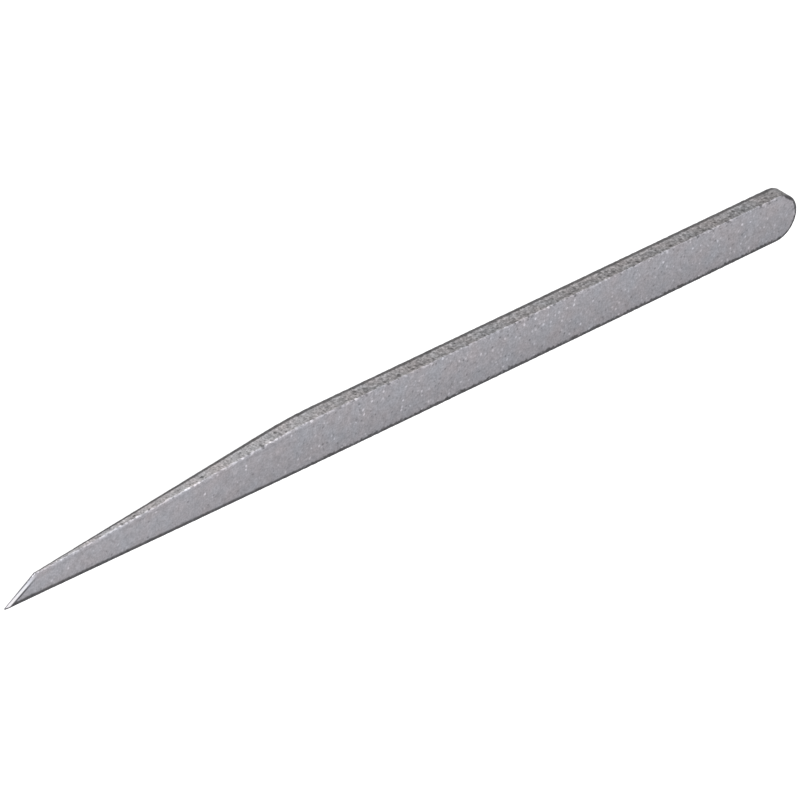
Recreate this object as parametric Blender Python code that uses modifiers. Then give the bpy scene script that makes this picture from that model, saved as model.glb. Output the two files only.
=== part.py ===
"""Sculpting spatula: one flat steel bar with a rounded butt and a ground, skew-cut blade.

The bar lies on its broad back face. X runs along its length with the tip at -X, the straight narrow
edge is at -Y, the narrow edge that tapers to the blade is at +Y, and the front face looks up (+Z).
Stations along the bar are measured from the tip, and the origin is under the middle of the bar.
"""

import cmath
import math

import bmesh
import bpy
from mathutils import Matrix, Vector

MM = 0.001

# The bar as it is blanked from flat stock.
LENGTH = 180 * MM
WIDTH = 9.2 * MM
THICKNESS = 3.4 * MM
ARRIS = 0.25 * MM  # rounding of the long edges left by tumbling and blasting
BUTT_RADIUS = 4.4 * MM  # the butt is very nearly a half circle
BUTT_DRAW_IN = 0.25 * MM  # the straight edge curves in by this much at the butt
DRAW_IN_START = 110 * MM

# The blade, as seen on the broad face.
SHOULDER = 65 * MM  # the tapered edge and both grinds start here
SHOULDER_RADIUS = 144 * MM
HEEL = 6.4 * MM  # the skew cut ends here, on the tapered edge
HEEL_WIDTH = 4.38 * MM  # width of the blade there
TIP_WIDTH = 0.3 * MM  # the cut leaves the tip this blunt

# The blade, as seen from its narrow edge: both broad faces are ground towards the tip.
TIP_THICKNESS = 0.25 * MM
FRONT_GRIND = 0.65 * MM  # depth of the front grind at the tip; the back grind makes up the rest
BACK_GRIND = THICKNESS - TIP_THICKNESS - FRONT_GRIND
FRONT_SLOPE = FRONT_GRIND / SHOULDER
BACK_SLOPE = BACK_GRIND / SHOULDER

# The chisel bevel along the skew cut.
BEVEL_WIDTH = 0.75 * MM
BEVEL_DROP = 0.2 * MM

CHORD_ERROR = 0.003 * MM  # how far an arc's chords may stray from the arc
ARRIS_SEGMENTS = 3
CUTTER_MARGIN = 2 * MM  # how far a cutter runs past the bar
BLOCK_SIZE = 20 * MM

STEEL_COLOUR = (0.33, 0.32, 0.34, 1.0)
STEEL_ROUGHNESS = 0.55


def clear_scene():
    for obj in list(bpy.data.objects):
        bpy.data.objects.remove(obj, do_unlink=True)


def new_collection(name):
    collection = bpy.data.collections.new(name)
    bpy.context.scene.collection.children.link(collection)
    return collection


def steel():
    """Bead-blasted tool steel."""
    material = bpy.data.materials.new("blasted_steel")
    material.use_nodes = True
    shader = material.node_tree.nodes["Principled BSDF"]
    shader.inputs["Base Color"].default_value = STEEL_COLOUR
    shader.inputs["Metallic"].default_value = 1.0
    shader.inputs["Roughness"].default_value = STEEL_ROUGHNESS
    return material


def fillet(before, corner, after, radius):
    """Points of the arc of this radius that rounds one corner of an outline."""
    if radius == 0:
        return [corner]
    heading = (corner - before) / abs(corner - before)
    next_heading = (after - corner) / abs(after - corner)
    turn = cmath.phase(next_heading / heading)
    start = corner - heading * radius * math.tan(abs(turn) / 2)
    centre = start + heading * 1j * math.copysign(radius, turn)
    chord_angle = 2 * math.acos(1 - CHORD_ERROR / radius)
    steps = max(2, math.ceil(abs(turn) / chord_angle))
    return [centre + (start - centre) * cmath.rect(1, turn * step / steps) for step in range(steps + 1)]


def rounded_outline(corners):
    """Closed outline through (x, y, radius) corners, each turned on an arc of its own radius.

    Its points are complex numbers, x + y j.
    """
    places = [complex(x, y) for x, y, _ in corners]
    outline = []
    for index, (_, _, radius) in enumerate(corners):
        after = places[(index + 1) % len(places)]
        outline += fillet(places[index - 1], places[index], after, radius)
    return outline


def plan_corners():
    """Corners of the blank on the broad face, anticlockwise seen from the front.

    The tapered edge runs on to the end of the blank, until the skew cut is made.
    """
    straight_edge = -WIDTH / 2
    tapered_edge = WIDTH / 2
    half_span = (LENGTH - BUTT_RADIUS - DRAW_IN_START) / 2
    draw_in_corner = DRAW_IN_START + half_span
    draw_in_angle = math.atan(BUTT_DRAW_IN / (LENGTH - draw_in_corner))
    draw_in_radius = half_span / math.tan(draw_in_angle / 2)
    taper = (WIDTH - HEEL_WIDTH) / (SHOULDER - HEEL)
    end_width = HEEL_WIDTH - taper * HEEL
    return [
        (0, straight_edge, 0),
        (draw_in_corner, straight_edge, draw_in_radius),
        (LENGTH, straight_edge + BUTT_DRAW_IN, BUTT_RADIUS),
        (LENGTH, tapered_edge, BUTT_RADIUS),
        (SHOULDER, tapered_edge, SHOULDER_RADIUS),
        (0, straight_edge + end_width, 0),
    ]


def grind_outline():
    """Outline, x + z j, of the wedge that the two ground faces close on; it ends past the bar."""
    stations = (-CUTTER_MARGIN, LENGTH + CUTTER_MARGIN)
    back = [complex(station, BACK_SLOPE * (SHOULDER - station)) for station in stations]
    front = [complex(station, THICKNESS - FRONT_SLOPE * (SHOULDER - station)) for station in stations]
    return back + front[::-1]


def is_cap(face):
    """Whether a face of an extruded outline is one of its two flat ends."""
    return abs(face.normal.z) > 0.5


def solid_from_outline(name, outline, height, place, collection):
    """Extrudes a flat outline by this height, half to each side of its own plane."""
    curve = bpy.data.curves.new(name + "_outline", "CURVE")
    curve.dimensions = "2D"
    curve.fill_mode = "BOTH"
    curve.extrude = height / 2
    spline = curve.splines.new("POLY")
    spline.points.add(len(outline) - 1)
    for point, spot in zip(spline.points, outline):
        point.co = (spot.real, spot.imag, 0, 1)
    spline.use_cyclic_u = True
    guide = bpy.data.objects.new(name + "_outline", curve)
    guide.matrix_world = place
    collection.objects.link(guide)
    bpy.context.view_layer.update()

    evaluated = guide.evaluated_get(bpy.context.evaluated_depsgraph_get())
    mesh = bpy.data.meshes.new_from_object(evaluated)
    mesh.name = name
    welded = bmesh.new()
    welded.from_mesh(mesh)
    bmesh.ops.remove_doubles(welded, verts=welded.verts, dist=0.001 * MM)
    bmesh.ops.recalc_face_normals(welded, faces=welded.faces)
    across_caps = [edge for edge in welded.edges if all(is_cap(face) for face in edge.link_faces)]
    bmesh.ops.dissolve_edges(welded, edges=across_caps)
    welded.to_mesh(mesh)
    welded.free()

    solid = bpy.data.objects.new(name, mesh)
    solid.matrix_world = guide.matrix_world
    collection.objects.link(solid)
    bpy.data.objects.remove(guide, do_unlink=True)
    bpy.data.curves.remove(curve)
    return solid


def hide_cutter(cutter):
    cutter.hide_render = True
    cutter.display_type = "WIRE"


def add_boolean(solid, name, operation, cutter):
    modifier = solid.modifiers.new(name, "BOOLEAN")
    modifier.operation = operation
    modifier.solver = "EXACT"
    modifier.object = cutter


def make_blank(collection):
    """The bar before grinding: full thickness, with all its long edges rounded."""
    middle = Matrix.Translation((-LENGTH / 2, 0, THICKNESS / 2))
    outline = rounded_outline(plan_corners())
    blank = solid_from_outline("spatula_body", outline, THICKNESS, middle, collection)
    rounding = blank.modifiers.new("arrises", "BEVEL")
    rounding.width = ARRIS
    rounding.segments = ARRIS_SEGMENTS
    rounding.limit_method = "WEIGHT"
    rounding.use_clamp_overlap = False  # the arcs' chords are shorter than the rounding is wide
    weights = blank.data.attributes.new("bevel_weight_edge", "FLOAT", "EDGE")
    for edge in blank.data.edges:
        ends = [blank.data.vertices[index].co for index in edge.vertices]
        lies_flat = abs(ends[0].z - ends[1].z) < CHORD_ERROR
        weights.data[edge.index].value = 1.0 if lies_flat else 0.0
    return blank


def make_grind_wedge(collection):
    """The space between the two ground faces, wider than the bar."""
    on_edge = Matrix.Translation((-LENGTH / 2, 0, 0)) @ Matrix.Rotation(math.radians(90), 4, "X")
    breadth = WIDTH + 2 * CUTTER_MARGIN
    wedge = solid_from_outline("grind_wedge", grind_outline(), breadth, on_edge, collection)
    hide_cutter(wedge)
    return wedge


def make_cutting_block(name, spot, along, normal, collection):
    """A cube with one face on the plane through this spot, on the side that the normal points to."""
    bpy.ops.mesh.primitive_cube_add(size=BLOCK_SIZE)
    block = bpy.context.object
    block.name = name
    for owner in block.users_collection:
        owner.objects.unlink(block)
    collection.objects.link(block)
    axes = Matrix((along, normal.cross(along), normal)).transposed().to_4x4()
    block.matrix_world = Matrix.Translation(spot + normal * BLOCK_SIZE / 2) @ axes
    hide_cutter(block)
    return block


def cut_from_end(body, collection):
    """Cuts the end of the bar off on the skew, then grinds the chisel bevel along that cut."""
    tip = Vector((-LENGTH / 2, -WIDTH / 2 + TIP_WIDTH, THICKNESS - FRONT_GRIND))
    cut = Vector((HEEL, HEEL_WIDTH - TIP_WIDTH, HEEL * FRONT_SLOPE))
    cut_middle = tip + cut / 2
    outward = Vector((-cut.y, cut.x, 0)).normalized()
    level = Vector((cut.x, cut.y, 0)).normalized()
    skew = make_cutting_block("skew_cutter", cut_middle, level, outward, collection)
    add_boolean(body, "skew_cut", "DIFFERENCE", skew)

    front_normal = Vector((-FRONT_SLOPE, 0, 1))
    across_face = front_normal.cross(cut).normalized() * BEVEL_WIDTH
    across_bevel = across_face - Vector((0, 0, BEVEL_DROP))
    bevel_normal = cut.cross(across_bevel).normalized()
    bevel_line = cut_middle - across_face
    bevel = make_cutting_block("bevel_cutter", bevel_line, cut.normalized(), bevel_normal, collection)
    add_boolean(body, "chisel_bevel", "DIFFERENCE", bevel)


def main():
    clear_scene()
    parts = new_collection("sculpting_spatula")
    cutters = new_collection("cutters")
    body = make_blank(parts)
    add_boolean(body, "grind", "INTERSECT", make_grind_wedge(cutters))
    cut_from_end(body, cutters)
    body.data.materials.append(steel())
    body.data.shade_smooth()
    body.data.set_sharp_from_angle(angle=math.radians(20))


main()
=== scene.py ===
"""Sculpting spatula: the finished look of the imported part, on a pale floor in soft studio light.

The frame is the part's own: X runs along the bar with the tip at -X, the narrow edge that tapers is at +Y,
and the broad front face looks up. Stations are measured along the bar from the tip. One fine mesh stands
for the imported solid: a grid on each broad face, and rings round the outline between them, which round both
arrises and carry the rough narrow edge.
"""

import math

import bpy
import numpy as np
from mathutils import Matrix, Vector, noise


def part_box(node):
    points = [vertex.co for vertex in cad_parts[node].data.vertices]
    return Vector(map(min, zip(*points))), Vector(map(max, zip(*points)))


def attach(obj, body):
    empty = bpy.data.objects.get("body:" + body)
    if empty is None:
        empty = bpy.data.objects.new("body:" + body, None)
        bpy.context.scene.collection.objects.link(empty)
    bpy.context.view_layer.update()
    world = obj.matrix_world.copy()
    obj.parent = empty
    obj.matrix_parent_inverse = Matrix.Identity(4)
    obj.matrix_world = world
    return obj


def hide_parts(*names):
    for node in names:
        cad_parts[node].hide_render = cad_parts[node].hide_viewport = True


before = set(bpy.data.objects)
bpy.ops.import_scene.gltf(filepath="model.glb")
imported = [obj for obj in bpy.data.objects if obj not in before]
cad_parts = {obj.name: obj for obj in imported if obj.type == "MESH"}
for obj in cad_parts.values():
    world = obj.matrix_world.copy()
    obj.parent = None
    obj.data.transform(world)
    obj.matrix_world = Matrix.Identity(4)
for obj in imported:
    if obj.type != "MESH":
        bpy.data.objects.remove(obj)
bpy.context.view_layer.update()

MM = 0.001
NODE = "spatula_body"

# The bar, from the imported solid.
LOW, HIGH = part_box(NODE)
LENGTH, WIDTH, THICKNESS = HIGH - LOW
MIDDLE = (LOW + HIGH) / 2
BUTT_DRAW_IN = 0.22 * MM  # the straight edge curves in by this much before the butt, from this station on
DRAW_IN_START = 110 * MM
BUTT_RADIUS = (WIDTH - BUTT_DRAW_IN) / 2
BUTT_START = LENGTH - BUTT_RADIUS
BUTT_CENTRE = complex(BUTT_START, WIDTH / 2 - BUTT_RADIUS)

# The blade.
SHOULDER = 65 * MM
SHOULDER_EASE = 5.9 * MM  # the taper eases in over this much to each side of the shoulder
GRIND_EASE = 2.5 * MM  # and the grinding of both faces over this much
HEEL = 6.4 * MM  # the skew cut ends here, on the tapered edge, where the blade has the heel's width
HEEL_WIDTH = 4.38 * MM
TIP_WIDTH = 0.3 * MM  # the cut leaves the tip this blunt
TAPER = (WIDTH - HEEL_WIDTH) / (SHOULDER - HEEL)
CUT_SLOPE = (HEEL_WIDTH - TIP_WIDTH) / HEEL
CUT_START = -TIP_WIDTH / CUT_SLOPE  # station where the cut's line would meet the straight edge
TIP_THICKNESS = 0.25 * MM
FRONT_GRIND = 0.65 * MM  # depth at the tip; the back is ground away until the tip's thickness is left
BACK_GRIND = THICKNESS - TIP_THICKNESS - FRONT_GRIND
BEVEL_WIDTH = 0.75 * MM
BEVEL_DROP = 0.2 * MM

# Arrises and the rough narrow edge.
HANDLE_ARRIS = 0.25 * MM
BLADE_ARRIS = 0.14 * MM
THIN_EDGE_SHARE = 0.3  # an arris's radius is at most this share of the thickness
ARRIS_WEAR = 0.45  # and varies by up to this share of itself
WEAR_SIZE = 0.9 * MM
SHEAR_DEPTH = 0.06 * MM  # the rough edge lies inside the outline by up to this much
SHEAR_SIZES = Vector((0.45, 0.45, 1.6)) * MM  # its streaks run through the thickness
EDGE_SWELL = 0.02 * MM  # and by up to this much more in long swells
SWELL_SIZE = 5 * MM

# The mesh.
ROW_SPACING = 0.22 * MM
BEVEL_ROWS = 10
FINE_ROWS = 15  # this many rows lie as close together as those on the bevel
SLANTED_ROWS_END = 40 * MM  # rows lie along the skew cut up to here, then turn square to the bar
COLUMNS = 34
ARRIS_RINGS = 4
EDGE_RINGS = 12
BULGE_POWER = 4  # how late the rows start to curve into the butt's half circle
FACE, EDGE, BEVEL = range(3)  # the numbers of its materials

# Noise textures: their detail, and the range that holds nearly all of their values.
NOISE_DETAIL = 2.0
NOISE_SPAN = (0.3, 0.7)

# The blade's finish gives way to the handle's between these stations. A pair named _BY_PART holds the
# blade's value and then the handle's.
BLADE_UNTIL = 58 * MM
HANDLE_FROM = 74 * MM

# Tones are how much light the metal sends back, from 0 to 1.
FACE_TONE = 0.385
FACE_TINT = Vector((1.0, 0.975, 1.045))
WARM_SHIFT = Vector((0.025, -0.005, -0.02))  # broad patches lean this much to a warmer or a cooler grey
WARM_SIZE = 4 * MM
# Painted shading: the faces lighten towards the tapered edge, and the blade's face is painted lighter
# towards the tip.
ACROSS_TONES = (0.85, 1.09)  # the faces lighten from the straight edge to the tapered edge
BLADE_LIFT = 1.16  # and by this factor towards the tip, between these stations
LIFT_START = 62 * MM
LIFT_END = 14 * MM
EDGE_TINT = Vector((1.0, 0.965, 0.985))
BLADE_EDGE_TONE = 0.315
HANDLE_EDGE_TONES = (0.275, 0.23)  # at the shoulder and at the butt
STEEL_ROUGHNESS = 0.5
BRIGHT_ROUGHNESS = 0.35

# Uneven tone: the sizes of the patches along X, Y and Z, and how much lighter or darker they are.
MOTTLE = dict(sizes=[1.2 * MM] * 3, amount=0.08)
GRAIN = dict(sizes=[0.35 * MM] * 3, amount=0.16)
BLOTCHES = dict(sizes=[0.9 * MM, 0.9 * MM, 0.7 * MM], amount=0.4)
STREAKS = dict(sizes=[0.4 * MM, 0.4 * MM, 1.2 * MM], amount=0.1)
EDGE_GRAIN = dict(sizes=[0.35 * MM] * 3, amount=0.42)
SCRATCHES = dict(sizes=[0.2 * MM] * 3, amount=0.12)

# Specks: dots in cells of this size, with a radius that is a share of the cell's size, and a tone that is
# a share of the tone round them. Light specks, dark specks and pits have cells of different sizes, because
# dots in equal cells would lie on each other.
LIGHT_SPECKS = dict(size=0.9 * MM, radius=0.36, tone=1.65)
DARK_SPECKS = dict(size=1.1 * MM, radius=0.27, tone=0.62)
PITS = dict(size=1.0 * MM, radius=0.5, tone=0.3)
FAINTEST_DOT = 0.2  # dots vary in strength from this up to 1

# The share of the cells that hold a dot. The faces' light specks keep to patches of the cluster size, and
# have this share in the middle of a patch.
LIGHT_SPECK_SHARE_BY_PART = (0.15, 0.8)
CLUSTER_SIZE = 6 * MM
DARK_SPECK_SHARE_BY_PART = (0.35, 0.9)
EDGE_SPECK_SHARE = 0.15

# Profiles through the thickness of the narrow edge, from the back face at 0 to the front face at 1: the
# share of cells with a pit, and factors for the tone on the handle and on the blade.
PIT_PROFILE = ((0.0, 0.1), (0.5, 0.2), (0.64, 0.7), (0.85, 0.7), (0.95, 0.1))
HANDLE_PROFILE = (
    (0.0, 0.8),
    (0.2, 0.97),
    (0.3, 1.18),
    (0.4, 0.96),
    (0.5, 0.93),
    (0.63, 0.98),
    (0.78, 0.74),
    (0.92, 1.05),
)
BLADE_PROFILE = ((0.0, 1.0), (0.15, 1.12), (0.35, 1.1), (0.6, 1.0), (1.0, 1.05))
PROFILE_WANDER = dict(sizes=[1.5 * MM, 1.5 * MM, 3 * MM], low=-0.06, high=0.06)  # they shift by this much

# Fine relief in the shading.
DENTS = dict(sizes=[0.5 * MM] * 3, depth=0.012 * MM)
PEENING = dict(sizes=[0.15 * MM] * 3, depth=0.006 * MM)
TEAR_DEPTH = 0.02 * MM
SCRATCH_DEPTH = 0.003 * MM

# A dark rim of painted shade runs along the straight edge, the butt and the back: the shading of arrises
# that turn away, and the contact shadow where the back meets the floor.
RIM_SHADE_TONE = 0.1
RIM_SHADE_VARIATION = dict(sizes=[0.8 * MM] * 3, amount=0.25)
RIM_WIDTH_BY_PART = (0.54 * MM, 0.6 * MM)
RIM_FADE = 0.35 * MM
RIM_WANDER_BY_PART = (0.06 * MM, 0.25 * MM)  # its inner side is ragged by up to this much each way
RIM_WANDER_SIZE = 0.6 * MM

# The rim of painted shade along the back.
BACK_RIM_WIDTH = 0.72 * MM
BACK_RIM_CRISPNESS = 2  # it fades and wanders this many times less than the rest
BACK_RIM_THINNING = 0.65  # it narrows with the blade's thickness, raised to this power

# The rim of painted shade round the butt.
BUTT_RIM_NARROWING = 1.3  # on the front face it is this many times narrower
BUTT_RIM_REACH = 0.3  # down the butt's own edge, distances count for this share, so it covers more there
RIM_CHANGE = 0.94  # it ends, and the bright arris starts, this far up the butt, where 1 is the tapered edge
RIM_CHANGE_LENGTH = 16 * MM  # past there, each draws back by this much for every 1 further

# The front arris of the tapered edge is bright, in flecks and beads: partly handling wear, partly a painted
# highlight.
BRIGHT_ARRIS = 0.14 * MM
BRIGHT_ARRIS_FADE = 0.22 * MM
ARRIS_WANDER = 0.1 * MM
ARRIS_WANDER_SIZE = 0.9 * MM
FLECK_TONE_BY_PART = (0.62, 0.54)
FLECK_SIZES = (0.8 * MM, 0.45 * MM, 0.45 * MM)
FLECK_LEVEL_BY_PART = (0.46, 0.51)  # noise above this level is bright
FLECK_FADE = 0.12
BEAD_TONE_BY_PART = (0.95, 0.7)
BEADS = dict(size=0.9 * MM, radius=0.42)
BEAD_SHARE_BY_PART = (0.6, 0.55)
BEAD_REACH = 0.34 * MM
# On the handle, painted shade dulls the arris's own highlight.
DULL_ARRIS_BY_PART = (1.0, 0.84)  # between them, the arris's tone as a share of the tone beside it
DULL_ARRIS_REACH = 0.35 * MM
ARRIS_PIT_SHARE_BY_PART = (0.1, 0.45)  # the narrow edge's pits cross the arris, and end this far over it
ARRIS_PIT_REACH = 0.5 * MM

# The shade on the blade's front face, by distance from that arris as a share of its reach.
ARRIS_SHADE = ((0.0, 1.0), (0.25, 1.0), (0.38, 0.88), (0.5, 0.93), (0.7, 1.0))
ARRIS_SHADE_REACH = 2 * MM

# The bevel, and the painted shade of the burr round it on the front face. The bevel's tone goes by distance
# from the cut, in widths of the bevel, and its dark ends are painted shade. The burr's shade goes by the
# same distance as a share of its reach.
BEVEL_PROFILE = ((0.0, 0.3), (0.1, 0.35), (0.2, 1.0), (0.72, 1.0), (0.84, 0.25), (1.0, 0.15))
BURR_SHADE_PROFILE = ((0.0, 0.35), (0.08, 0.35), (0.14, 1.0), (0.48, 1.0), (0.5, 0.25), (0.59, 0.3), (0.7, 1.0))
BURR_SHADE_REACH = 2.0
BEVEL_FADE = (6.9 * MM, 4.4 * MM)  # from the heel to the tip, both come up between these stations
HEEL_TONE = 0.42  # the bevel's tone at the heel
# Painted shade darkens the narrow edge along the cut.
CUT_EDGE_TONE = 0.35  # along the cut, the narrow edge has this share of its tone, up to this distance
CUT_EDGE_SPAN = (0.1, 0.2)
# The dark rim of painted shade is narrower on the bevel.
BEVEL_RIM_WIDTH = 0.18 * MM  # the dark rim is narrower here
BEVEL_RIM_FADE = 0.15 * MM

# The studio.
FLOOR_SIZE = 4.0
FLOOR_GAP = 0.01 * MM
FLOOR_TONE = 0.25
FLOOR_ROUGHNESS = 0.9
FLOOR_GLOW = 0.95  # a light table, which swallows the shadow
ROOM_LIGHT = 0.85
SOFTBOX_SIZE = 0.8
SOFTBOX_POWER = 10.0
SOFTBOX_DISTANCE = 1.0
SOFTBOX_ELEVATION = 50.0  # it stands on the camera's side, so that the tool's shadow falls behind it

# The camera, at the photograph's viewing angle.
CAMERA_AZIMUTH = 227.64
CAMERA_ELEVATION = 36.25
CAMERA_ROLL = 121.46
CAMERA_DISTANCE = 2.0
CAMERA_LENS = 544.0
AIM_LEFT = 1.054 * MM  # the camera aims a little to the left of the tool's middle, and below it
AIM_DOWN = 1.574 * MM


def soft_ramp(distance, ease):
    """0 before a slope starts and the distance after, turning evenly over ease to each side."""
    turning = (distance + ease) ** 2 / (4 * ease)
    return np.where(distance > ease, distance, np.where(distance < -ease, 0.0, turning))


def straight_edge(station):
    """Y of the straight edge."""
    share = np.clip(station - DRAW_IN_START, 0, None) / (BUTT_START - DRAW_IN_START)
    return -WIDTH / 2 + BUTT_DRAW_IN * share**2


def tapered_edge(station):
    """Y of the tapered edge."""
    return WIDTH / 2 - TAPER * soft_ramp(SHOULDER - station, SHOULDER_EASE)


def from_cut(plan):
    """Distance from the skew cut into the blade. Plan points are complex numbers, station + y j."""
    return (plan.real * CUT_SLOPE + TIP_WIDTH - plan.imag - WIDTH / 2) / math.hypot(CUT_SLOPE, 1)


def from_butt(plan):
    """Distance inwards from the half circle of the butt, and a large one ahead of it."""
    return np.where(plan.real > BUTT_START, BUTT_RADIUS - abs(plan - BUTT_CENTRE), WIDTH)


def up_butt(plan):
    """Place round the butt: -1 at the straight edge, 0 at the very end, 1 at the tapered edge."""
    return np.sin(np.angle(plan - BUTT_CENTRE))


def front_height(plan):
    """Height of the front face: level on the handle, ground on the blade, bevelled along the cut."""
    ground = FRONT_GRIND / SHOULDER * soft_ramp(SHOULDER - plan.real, GRIND_EASE)
    bevel = BEVEL_DROP * np.clip(1 - from_cut(plan) / BEVEL_WIDTH, 0, None)
    return THICKNESS - ground - bevel


def back_height(plan):
    """Height of the back face: 0 on the handle, and rising to the tip on the blade."""
    return BACK_GRIND / SHOULDER * soft_ramp(SHOULDER - plan.real, GRIND_EASE)


def plan_grid():
    """Plan points of the face grid, out to the outline itself, with rows from the tip to the butt.

    The first rows lie along the skew cut, and start on the blunt tip. Columns lie closest together near
    the edges.
    """
    bevel_reach = BEVEL_WIDTH / math.sin(math.atan(CUT_SLOPE))
    fine_spacing = bevel_reach / BEVEL_ROWS
    fine_end = CUT_START + FINE_ROWS * fine_spacing
    fine_rows = CUT_START + np.arange(FINE_ROWS) * fine_spacing
    rows = round((BUTT_START - fine_end) / ROW_SPACING)
    lower = np.append(fine_rows, np.linspace(fine_end, BUTT_START, rows))
    # The last row along the cut meets the tapered edge here.
    slanted_end = HEEL + (SLANTED_ROWS_END - CUT_START) * CUT_SLOPE / (CUT_SLOPE - TAPER)
    upper = np.interp(lower, [CUT_START, SLANTED_ROWS_END, BUTT_START], [HEEL, slanted_end, BUTT_START])

    angle = np.linspace(0, math.pi, COLUMNS + 1)
    across = (1 - np.cos(angle)) / 2
    # Rows that would start ahead of the bar start on its blunt end instead.
    before_tip = np.clip(-lower, 0, None)
    low_edge = straight_edge(lower) + before_tip * CUT_SLOPE
    low_ends = (lower + before_tip + 1j * low_edge)[:, None]
    high_ends = (upper + 1j * tapered_edge(upper))[:, None]
    bulge = BUTT_RADIUS * np.sin(angle) * (lower / BUTT_START)[:, None] ** BULGE_POWER
    return low_ends * (1 - across) + high_ends * across + bulge


def border(grid):
    """What lies round the border of a grid, anticlockwise: straight edge, butt, tapered edge, skew cut."""
    return np.concatenate((grid[:-1, 0], grid[-1, :-1], grid[:0:-1, -1], grid[0, :0:-1]))


def inward(outline):
    """How each point of an outline moves when all of its sides move in by one unit."""
    step = np.roll(outline, -1) - outline
    after = 1j * step / abs(step)
    before = np.roll(after, 1)
    return (before + after) / (1 + (before * after.conjugate()).real)


def shrunk(grid, moves):
    """The grid with its border moved by these amounts, and its inside moved along with it."""
    moved = np.zeros_like(grid)
    moved.flat[border(np.arange(grid.size).reshape(grid.shape))] = moves
    across = (1 - np.cos(np.linspace(0, math.pi, grid.shape[1]))) / 2
    rows = moved[:, :1] * (1 - across) + moved[:, -1:] * across
    along = np.linspace(0, 1, len(grid))[:, None]
    near_cut = np.clip(1 - along * len(grid) / BEVEL_ROWS, 0, 1)
    near_butt = along**BULGE_POWER
    return grid + rows + near_cut * (moved[0] - rows[0]) + near_butt * (moved[-1] - rows[-1])


def unevenness(points, sizes):
    """Smooth noise from -1 to 1 at each point, with features of these sizes along X, Y and Z."""
    scaled = points / np.array(sizes)
    return np.array([noise.noise(Vector(point)) for point in scaled])


def arris_radius(outline, thickness, ground):
    """The handle's arrises are broad, and grinding has left the blade's narrower; wear varies both."""
    share = np.clip(ground / HANDLE_ARRIS, 0, 1)
    radius = HANDLE_ARRIS * (1 - share) + BLADE_ARRIS * share
    places = np.stack((outline.real, outline.imag, ground), 1)
    wear = 1 + ARRIS_WEAR * unevenness(places, [WEAR_SIZE] * 3)
    return np.minimum(radius * wear, THIN_EDGE_SHARE * thickness)


def side_rings(outline):
    """Inset, height and share of the edge's roughness for each ring, from the front face to the back."""
    top = front_height(outline)
    bottom = back_height(outline)
    front_radius = arris_radius(outline, top - bottom, THICKNESS - top)
    back_radius = arris_radius(outline, top - bottom, bottom)
    turns = np.linspace(0, math.pi / 2, ARRIS_RINGS + 1)
    rings = []
    for turn in turns:
        inset = front_radius * (1 - math.sin(turn))
        rings.append((inset, top - front_radius * (1 - math.cos(turn)), math.sin(turn)))
    for share in np.linspace(0, 1, EDGE_RINGS + 1)[1:-1]:
        height = (top - front_radius) * (1 - share) + (bottom + back_radius) * share
        rings.append((np.zeros_like(height), height, 1.0))
    for turn in turns[::-1]:
        inset = back_radius * (1 - math.sin(turn))
        rings.append((inset, bottom + back_radius * (1 - math.cos(turn)), math.sin(turn)))
    return rings


def place(plan, height):
    """Positions in the part's frame, one in each row, from plan points and heights."""
    return np.stack((plan.real + LOW.x, plan.imag + MIDDLE.y, height + LOW.z), 1)


def shear_depth(outline, height):
    """How far the rough narrow edge lies inside the outline; its streaks run through the thickness."""
    smooth = place(outline, height)
    streaks = 0.5 + 0.5 * unevenness(smooth, SHEAR_SIZES)
    swell = 0.5 + 0.5 * unevenness(smooth, [SWELL_SIZE] * 3)
    thickness = front_height(outline) - back_height(outline)
    return (SHEAR_DEPTH * streaks + EDGE_SWELL * swell) * thickness / THICKNESS


def past_rim_change(plan):
    """Distance past where the butt's dark rim of painted shade gives way to the bright arris, or below 0
    before it.
    """
    return np.where(plan.real > BUTT_START, (up_butt(plan) - RIM_CHANGE) * RIM_CHANGE_LENGTH, 0)


def front_rim_distance(plan, below_front):
    """Distance from the outer side of the dark rim of painted shade along the straight edge and the butt."""
    from_straight = plan.imag - straight_edge(plan.real)
    reach = 1 - (1 - BUTT_RIM_REACH) * np.clip(1 + up_butt(plan), 0, 1)
    drawn_back = np.clip(past_rim_change(plan), 0, None)
    round_butt = from_butt(plan) * BUTT_RIM_NARROWING + below_front * reach + drawn_back
    return np.minimum(from_straight + below_front, round_butt)


def back_rim_distance(plan, above_back, thickness):
    """The same for the rim of painted shade along the back, scaled so that its own width falls on the
    handle's rim width.
    """
    from_straight = plan.imag - straight_edge(plan.real)
    from_tapered = tapered_edge(plan.real) - plan.imag
    from_outline = np.minimum(np.minimum(from_straight, from_tapered), from_butt(plan))
    from_back = from_outline + above_back * (THICKNESS / thickness) ** BACK_RIM_THINNING
    return RIM_WIDTH_BY_PART[1] + (from_back - BACK_RIM_WIDTH) * BACK_RIM_CRISPNESS


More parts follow.
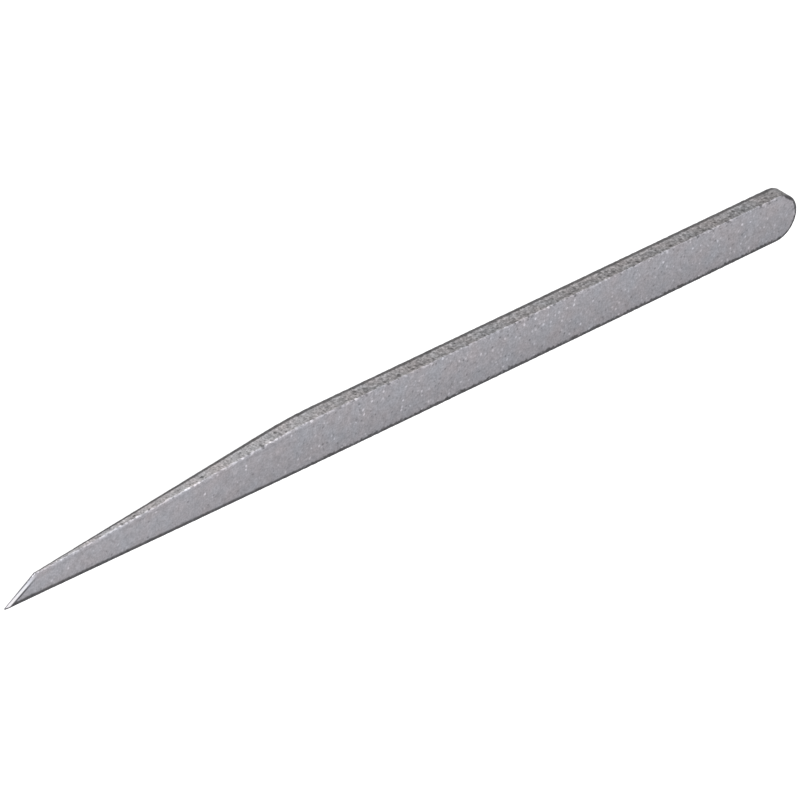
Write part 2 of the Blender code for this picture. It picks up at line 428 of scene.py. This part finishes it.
def finish_by_place(plan, height):
    """Where each vertex lies on the bar, for the finishes that follow its outline.

    Distances run over the faces and round their arrises, from the outline. The one over the bright arris is
    0 on it, above 0 on the front face, and below 0 on the narrow edge and the back.
    """
    below_front = front_height(plan) - height
    above_back = height - back_height(plan)
    thickness = np.maximum(below_front + above_back, TIP_THICKNESS - BEVEL_DROP)
    on_front = above_back > thickness / 2
    front_rim = front_rim_distance(plan, below_front)
    back_rim = back_rim_distance(plan, above_back, thickness)
    from_tapered = tapered_edge(plan.real) - plan.imag
    drawn_back = np.clip(-past_rim_change(plan), 0, None)
    # Distance round the bright arris, which is partly handling wear and partly a painted highlight.
    worn_and_highlit_side = np.minimum(from_tapered, from_butt(plan)) + drawn_back
    return {
        "across": np.clip(plan.imag / WIDTH + 0.5, 0, 1),
        "edge_height": np.clip(above_back / thickness, 0, 1),
        # The dark rim of painted shade.
        "rim": np.minimum(front_rim, back_rim),
        "over_arris": np.where(on_front, worn_and_highlit_side, -worn_and_highlit_side) - below_front,
        "front": on_front,
        "past_cut": from_cut(plan) / BEVEL_WIDTH,
    }


def quads(corners):
    """The four corners of each cell of a grid of vertex numbers."""
    cells = (corners[:-1, :-1], corners[1:, :-1], corners[1:, 1:], corners[:-1, 1:])
    return np.stack(cells, -1).reshape(-1, 4)


def closed_skin():
    """The bar's whole surface: its vertices' plan points and heights, its faces, and their materials.

    The vertices are the front face's grid, the back face's, and a loop for each ring between them.
    """
    grid = plan_grid()
    outline = border(grid)
    towards_middle = inward(outline)
    rings = side_rings(outline)
    front = shrunk(grid, towards_middle * rings[0][0])
    back = shrunk(grid, towards_middle * rings[-1][0])
    front_numbers = np.arange(grid.size).reshape(grid.shape)
    back_numbers = front_numbers + grid.size

    plans = [front.ravel(), back.ravel()]
    heights = [front_height(front).ravel(), back_height(back).ravel()]
    loops = [border(front_numbers)]
    for inset, height, rough_share in rings[1:-1]:
        start = sum(plan.size for plan in plans)
        loops.append(np.arange(start, start + outline.size))
        plans.append(outline + towards_middle * (inset + rough_share * shear_depth(outline, height)))
        heights.append(height)
    loops.append(border(back_numbers))
    around = np.stack(loops)
    around = np.append(around, around[:, :1], 1)

    faces = (quads(front_numbers), quads(back_numbers)[:, ::-1], quads(around))
    on_front, on_back, on_side = (np.full(len(part), FACE, np.int32) for part in faces)
    on_front[: BEVEL_ROWS * COLUMNS] = BEVEL
    on_side[ARRIS_RINGS * outline.size : -ARRIS_RINGS * outline.size] = EDGE
    numbers = np.concatenate((on_front, on_back, on_side))
    return np.concatenate(plans), np.concatenate(heights), np.concatenate(faces), numbers


def make_body():
    """The whole bar as one closed mesh, with its finish along the outline kept in mesh attributes."""
    plan, height, faces, material_numbers = closed_skin()
    mesh = bpy.data.meshes.new("spatula")
    mesh.from_pydata(place(plan, height), [], faces.tolist())
    mesh.shade_smooth()
    for name, values in finish_by_place(plan, height).items():
        mesh.attributes.new(name, "FLOAT", "POINT").data.foreach_set("value", values.astype(np.float32))
    for material in (blasted_face(), sheared_edge(), ground_bevel()):
        mesh.materials.append(material)
    mesh.polygons.foreach_set("material_index", material_numbers)

    body = bpy.data.objects.new("spatula", mesh)
    bpy.context.scene.collection.objects.link(body)
    return body


class Finish:
    """A material's node tree. Its methods add nodes, and return the output that carries their result."""

    def __init__(self, name):
        self.material = bpy.data.materials.new(name)
        self.material.use_nodes = True
        self.tree = self.material.node_tree
        self.shader = self.tree.nodes["Principled BSDF"]
        self.shader.inputs["Metallic"].default_value = 1.0
        self.position = self.tree.nodes.new("ShaderNodeTexCoord").outputs["Object"]

    def feed(self, socket, value):
        """Links a value that is a node's output, and sets any other."""
        if isinstance(value, bpy.types.NodeSocket):
            self.tree.links.new(value, socket)
        else:
            socket.default_value = value

    def add(self, kind, inputs, **settings):
        """A new node with these settings, its inputs fed by their names or numbers."""
        node = self.tree.nodes.new(kind)
        for name, value in settings.items():
            setattr(node, name, value)
        for name, value in inputs.items():
            self.feed(node.inputs[name], value)
        return node

    def math(self, operation, *values):
        return self.add("ShaderNodeMath", dict(enumerate(values)), operation=operation).outputs[0]

    def station(self):
        """Distance along the bar from the tip."""
        along = self.add("ShaderNodeSeparateXYZ", {"Vector": self.position}).outputs["X"]
        return self.math("SUBTRACT", along, LOW.x)

    def attribute(self, name):
        return self.add("ShaderNodeAttribute", {}, attribute_name=name).outputs["Fac"]

    def product(self, *factors):
        result = factors[0]
        for factor in factors[1:]:
            result = self.math("MULTIPLY", result, factor)
        return result

    def spread(self, value, low, high, to_low=0.0, to_high=1.0):
        """The value's range from low to high, turned evenly into another range and held there."""
        inputs = {"Value": value, "From Min": low, "From Max": high, "To Min": to_low, "To Max": to_high}
        return self.add("ShaderNodeMapRange", inputs).outputs["Result"]

    def blend(self, share, first, second):
        """The first value where the share is 0, and the second where it is 1."""
        inputs = {"Factor": share, "A": first, "B": second}
        return self.add("ShaderNodeMix", inputs, data_type="FLOAT").outputs["Result"]

    def scaled_position(self, sizes):
        scale = [1 / size for size in sizes]
        return self.add("ShaderNodeMapping", {"Vector": self.position, "Scale": scale}).outputs["Vector"]

    def noise(self, sizes):
        """Soft noise, mostly within NOISE_SPAN, with features of these sizes along X, Y and Z."""
        inputs = {"Vector": self.scaled_position(sizes), "Scale": 1.0, "Detail": NOISE_DETAIL}
        return self.add("ShaderNodeTexNoise", inputs).outputs["Fac"]

    def wander(self, sizes, low, high):
        """Noise turned into this range."""
        return self.spread(self.noise(sizes), *NOISE_SPAN, low, high)

    def variation(self, sizes, amount):
        """A factor about 1, up to this amount each way."""
        return self.wander(sizes, 1 - amount, 1 + amount)

    def by_part(self, values=(0, 1)):
        """The first value on the blade and the second on the handle, with an even change between them."""
        return self.spread(self.station(), BLADE_UNTIL, HANDLE_FROM, *values)

    def near_tip(self):
        """1 near the tip, falling to 0 towards the heel."""
        return self.spread(self.station(), *BEVEL_FADE)

    def dots(self, size, share, radius):
        """Strength, up to 1, of scattered dots, some fainter than others, and 0 between them."""
        inputs = {"Vector": self.scaled_position([size] * 3), "Scale": 1.0}
        cells = self.add("ShaderNodeTexVoronoi", inputs)
        chosen = self.math("LESS_THAN", self.channel(cells.outputs["Color"]), share)
        strength = self.spread(self.channel(cells.outputs["Color"], "Green"), 0, 1, FAINTEST_DOT, 1)
        return self.product(self.spread(cells.outputs["Distance"], radius, radius / 2), chosen, strength)

    def specks(self, size, share, radius, tone):
        """A factor: this tone in the middle of scattered specks, and 1 between them."""
        return self.spread(self.dots(size, share, radius), 0, 1, 1, tone)

    def channel(self, colour, name="Red"):
        return self.add("ShaderNodeSeparateColor", {"Color": colour}).outputs[name]

    def curve(self, value, stops):
        """The value, turned into another along straight lines between these stops."""
        ramp = self.add("ShaderNodeValToRGB", {"Fac": value})
        elements = ramp.color_ramp.elements
        while len(elements) < len(stops):
            elements.new(1.0)
        for element, (position, level) in zip(elements, stops):
            element.position = position
            element.color = (level, level, level, 1)
        return self.channel(ramp.outputs["Color"])

    def vector(self, operation, inputs):
        return self.add("ShaderNodeVectorMath", inputs, operation=operation).outputs["Vector"]

    def colour(self, tint, tone):
        """Base colour: a tint, leaning to a warmer or cooler grey from place to place, at this tone."""
        warmth = self.wander([WARM_SIZE] * 3, -1, 1)
        lean = self.vector("SCALE", {0: WARM_SHIFT, "Scale": warmth})
        leaning = self.vector("ADD", {0: tint, 1: lean})
        self.feed(self.shader.inputs["Base Color"], self.vector("SCALE", {0: leaning, "Scale": tone}))

    def rim(self):
        """Share of the dark rim of painted shade, with a ragged inner side."""
        ragged = self.product(self.wander([RIM_WANDER_SIZE] * 3, -1, 1), self.by_part(RIM_WANDER_BY_PART))
        distance = self.math("ADD", self.attribute("rim"), ragged)
        past_rim = self.math("SUBTRACT", distance, self.by_part(RIM_WIDTH_BY_PART))
        return self.spread(past_rim, RIM_FADE, 0)

    # The tone of the dark rim's painted shade.
    def rim_shade_tone(self):
        return self.product(self.variation(**RIM_SHADE_VARIATION), RIM_SHADE_TONE)

    def arris_wear_and_highlight(self, plain):
        """The plain tone, with bright flecks and beads along the handled arris, partly wear and partly a
        painted highlight, dulled on the handle by painted shade, and the beads' share.
        """
        wander = self.wander([ARRIS_WANDER_SIZE] * 3, -ARRIS_WANDER, ARRIS_WANDER)
        distance = self.math("ABSOLUTE", self.math("ADD", self.attribute("over_arris"), wander))
        dull = self.spread(distance, 0, DULL_ARRIS_REACH, self.by_part(DULL_ARRIS_BY_PART), 1)
        above_level = self.math("SUBTRACT", self.noise(FLECK_SIZES), self.by_part(FLECK_LEVEL_BY_PART))
        along_arris = self.spread(distance, BRIGHT_ARRIS + BRIGHT_ARRIS_FADE, BRIGHT_ARRIS)
        flecks = self.product(along_arris, self.spread(above_level, 0, FLECK_FADE))
        near_arris = self.spread(distance, BEAD_REACH, BEAD_REACH / 2)
        beads = self.product(near_arris, self.dots(share=self.by_part(BEAD_SHARE_BY_PART), **BEADS))
        with_flecks = self.blend(flecks, self.product(plain, dull), self.by_part(FLECK_TONE_BY_PART))
        return self.blend(beads, with_flecks, self.by_part(BEAD_TONE_BY_PART)), beads

    def colour_with_wear_and_painted_light(self, tint, plain):
        """Colours the metal by its plain tone, its bright arris of wear and painted highlight and its dark
        rims of painted shade, and polishes the beads.
        """
        worn_and_highlit, beads = self.arris_wear_and_highlight(plain)
        self.colour(tint, self.blend(self.rim(), worn_and_highlit, self.rim_shade_tone()))
        roughness = self.spread(beads, 0, 1, STEEL_ROUGHNESS, BRIGHT_ROUGHNESS)
        self.feed(self.shader.inputs["Roughness"], roughness)

    def bump(self, height, depth, normal=None):
        """Bumps of this depth, in metres, laid over any earlier ones."""
        inputs = {"Height": height, "Distance": depth, "Strength": 1.0}
        if normal:
            inputs["Normal"] = normal
        return self.add("ShaderNodeBump", inputs).outputs["Normal"]

    def peened_relief(self, height, depth):
        """Bumps of this depth over the whole surface, with fine peening laid over them."""
        coarse = self.bump(height, depth)
        fine = self.bump(self.noise(PEENING["sizes"]), PEENING["depth"], coarse)
        self.feed(self.shader.inputs["Normal"], fine)


def face_specks(finish):
    """A factor for the broad faces' specks, and for pits that cross the bright arris onto the front."""
    in_clusters = finish.wander([CLUSTER_SIZE] * 3, 0, 1)
    light_share = finish.product(finish.by_part(LIGHT_SPECK_SHARE_BY_PART), in_clusters)
    light = finish.specks(share=light_share, **LIGHT_SPECKS)
    dark = finish.specks(share=finish.by_part(DARK_SPECK_SHARE_BY_PART), **DARK_SPECKS)
    near_arris = finish.product(
        finish.spread(finish.attribute("over_arris"), ARRIS_PIT_REACH, 0), finish.attribute("front")
    )
    pit_share = finish.product(near_arris, finish.by_part(ARRIS_PIT_SHARE_BY_PART))
    return finish.product(light, dark, finish.specks(share=pit_share, **PITS))


def blasted_face():
    """Both broad faces and the arrises: a satin grey, with fine grain and scattered specks, and painted
    light and shade across the faces, towards the tip, beside the bright arris and along the burr.
    """
    finish = Finish("blasted_face")
    # Painted shading across the faces, and painted light towards the blade's tip.
    across = finish.spread(finish.attribute("across"), 0, 1, *ACROSS_TONES)
    along = finish.spread(finish.station(), LIFT_START, LIFT_END, 1, BLADE_LIFT)
    uneven = finish.product(finish.variation(**MOTTLE), finish.variation(**GRAIN))
    # Painted shade of the burr behind the bevel, near the tip on the front face.
    behind_cut = finish.spread(finish.attribute("past_cut"), 0, BURR_SHADE_REACH)
    has_burr_shade = finish.product(finish.near_tip(), finish.attribute("front"))
    burr_shade = finish.blend(has_burr_shade, 1, finish.curve(behind_cut, BURR_SHADE_PROFILE))
    beside_arris = finish.spread(finish.attribute("over_arris"), 0, ARRIS_SHADE_REACH)
    shade = finish.blend(finish.by_part(), finish.curve(beside_arris, ARRIS_SHADE), 1)
    plain = finish.product(FACE_TONE, across, along, uneven, face_specks(finish), burr_shade, shade)
    finish.colour_with_wear_and_painted_light(FACE_TINT, plain)
    finish.peened_relief(finish.noise(DENTS["sizes"]), DENTS["depth"])
    return finish.material


def sheared_edge():
    """The narrow edges: blotched and pitted on the handle, ground on the blade, darkened along the cut by
    painted shade.
    """
    finish = Finish("sheared_edge")
    height = finish.math("ADD", finish.attribute("edge_height"), finish.wander(**PROFILE_WANDER))
    handle_tone = finish.spread(finish.station(), SHOULDER, LENGTH, *HANDLE_EDGE_TONES)
    handle = finish.product(finish.curve(height, HANDLE_PROFILE), finish.variation(**BLOTCHES), handle_tone)
    blade = finish.product(finish.curve(height, BLADE_PROFILE), BLADE_EDGE_TONE)
    streaks = finish.variation(**STREAKS)
    pits = finish.specks(share=finish.curve(height, PIT_PROFILE), **PITS)
    light = finish.specks(share=EDGE_SPECK_SHARE, **LIGHT_SPECKS)
    rough = finish.product(streaks, finish.variation(**EDGE_GRAIN), pits, light)
    # Painted shade along the cut.
    cut = finish.spread(finish.attribute("past_cut"), *CUT_EDGE_SPAN, CUT_EDGE_TONE, 1)
    plain = finish.product(finish.blend(finish.by_part(), blade, handle), rough, cut)
    finish.colour_with_wear_and_painted_light(EDGE_TINT, plain)
    finish.peened_relief(finish.product(streaks, pits), TEAR_DEPTH)
    return finish.material


def ground_bevel():
    """The chisel bevel: bright metal with fine scratches, with painted shade at both sides, and dull towards
    the heel.
    """
    finish = Finish("ground_bevel")
    scratches = finish.variation(**SCRATCHES)
    profile = finish.curve(finish.attribute("past_cut"), BEVEL_PROFILE)
    bright = finish.blend(finish.near_tip(), HEEL_TONE, profile)
    # The dark rim of painted shade, narrower on the bevel.
    rim = finish.spread(finish.attribute("rim"), BEVEL_RIM_WIDTH + BEVEL_RIM_FADE, BEVEL_RIM_WIDTH)
    finish.colour(FACE_TINT, finish.blend(rim, finish.product(scratches, bright), finish.rim_shade_tone()))
    finish.shader.inputs["Roughness"].default_value = BRIGHT_ROUGHNESS
    finish.feed(finish.shader.inputs["Normal"], finish.bump(scratches, SCRATCH_DEPTH))
    return finish.material


def towards(azimuth, elevation):
    """The direction from the tool to something at this azimuth and elevation, in radians."""
    level = math.cos(elevation)
    return Vector((math.sin(azimuth) * level, -math.cos(azimuth) * level, math.sin(elevation)))


def make_camera():
    """A long lens far away, tilted with the photograph."""
    azimuth = math.radians(CAMERA_AZIMUTH)
    roll = math.radians(CAMERA_ROLL)
    backward = towards(azimuth, math.radians(CAMERA_ELEVATION))
    level_right = Vector((math.cos(azimuth), math.sin(azimuth), 0))
    level_up = backward.cross(level_right)
    right = level_right * math.cos(roll) + level_up * math.sin(roll)
    up = backward.cross(right)
    camera_data = bpy.data.cameras.new("camera")
    camera_data.lens = CAMERA_LENS
    camera = bpy.data.objects.new("camera", camera_data)
    spot = MIDDLE - right * AIM_LEFT - up * AIM_DOWN + backward * CAMERA_DISTANCE
    camera.matrix_world = Matrix.Translation(spot) @ Matrix((right, up, backward)).transposed().to_4x4()
    bpy.context.scene.collection.objects.link(camera)
    bpy.context.scene.camera = camera


def make_floor():
    """A glowing white floor just below the tool."""
    bpy.ops.mesh.primitive_plane_add(size=FLOOR_SIZE, location=(0, 0, LOW.z - FLOOR_GAP))
    floor = bpy.context.object
    floor.name = "floor"
    paper = bpy.data.materials.new("white_paper")
    paper.use_nodes = True
    shader = paper.node_tree.nodes["Principled BSDF"]
    shader.inputs["Base Color"].default_value = (FLOOR_TONE, FLOOR_TONE, FLOOR_TONE, 1)
    shader.inputs["Roughness"].default_value = FLOOR_ROUGHNESS
    shader.inputs["Emission Color"].default_value = (1, 1, 1, 1)
    shader.inputs["Emission Strength"].default_value = FLOOR_GLOW
    floor.data.materials.append(paper)


def light_studio():
    """An even white room, with a large softbox high on the camera's side."""
    room = bpy.data.worlds.new("white_room")
    room.use_nodes = True
    room.node_tree.nodes["Background"].inputs["Color"].default_value = (1, 1, 1, 1)
    room.node_tree.nodes["Background"].inputs["Strength"].default_value = ROOM_LIGHT
    bpy.context.scene.world = room
    softbox_data = bpy.data.lights.new("softbox", "AREA")
    softbox_data.shape = "SQUARE"
    softbox_data.size = SOFTBOX_SIZE
    softbox_data.energy = SOFTBOX_POWER
    softbox = bpy.data.objects.new("softbox", softbox_data)
    aim = towards(math.radians(CAMERA_AZIMUTH), math.radians(SOFTBOX_ELEVATION))
    softbox.location = MIDDLE + aim * SOFTBOX_DISTANCE
    softbox.rotation_euler = (MIDDLE - softbox.location).to_track_quat("-Z", "Y").to_euler()
    softbox.visible_camera = False
    bpy.context.scene.collection.objects.link(softbox)
    bpy.context.scene.view_settings.view_transform = "Standard"


make_camera()
make_floor()
light_studio()
body = make_body()
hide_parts(NODE)
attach(body, "root")
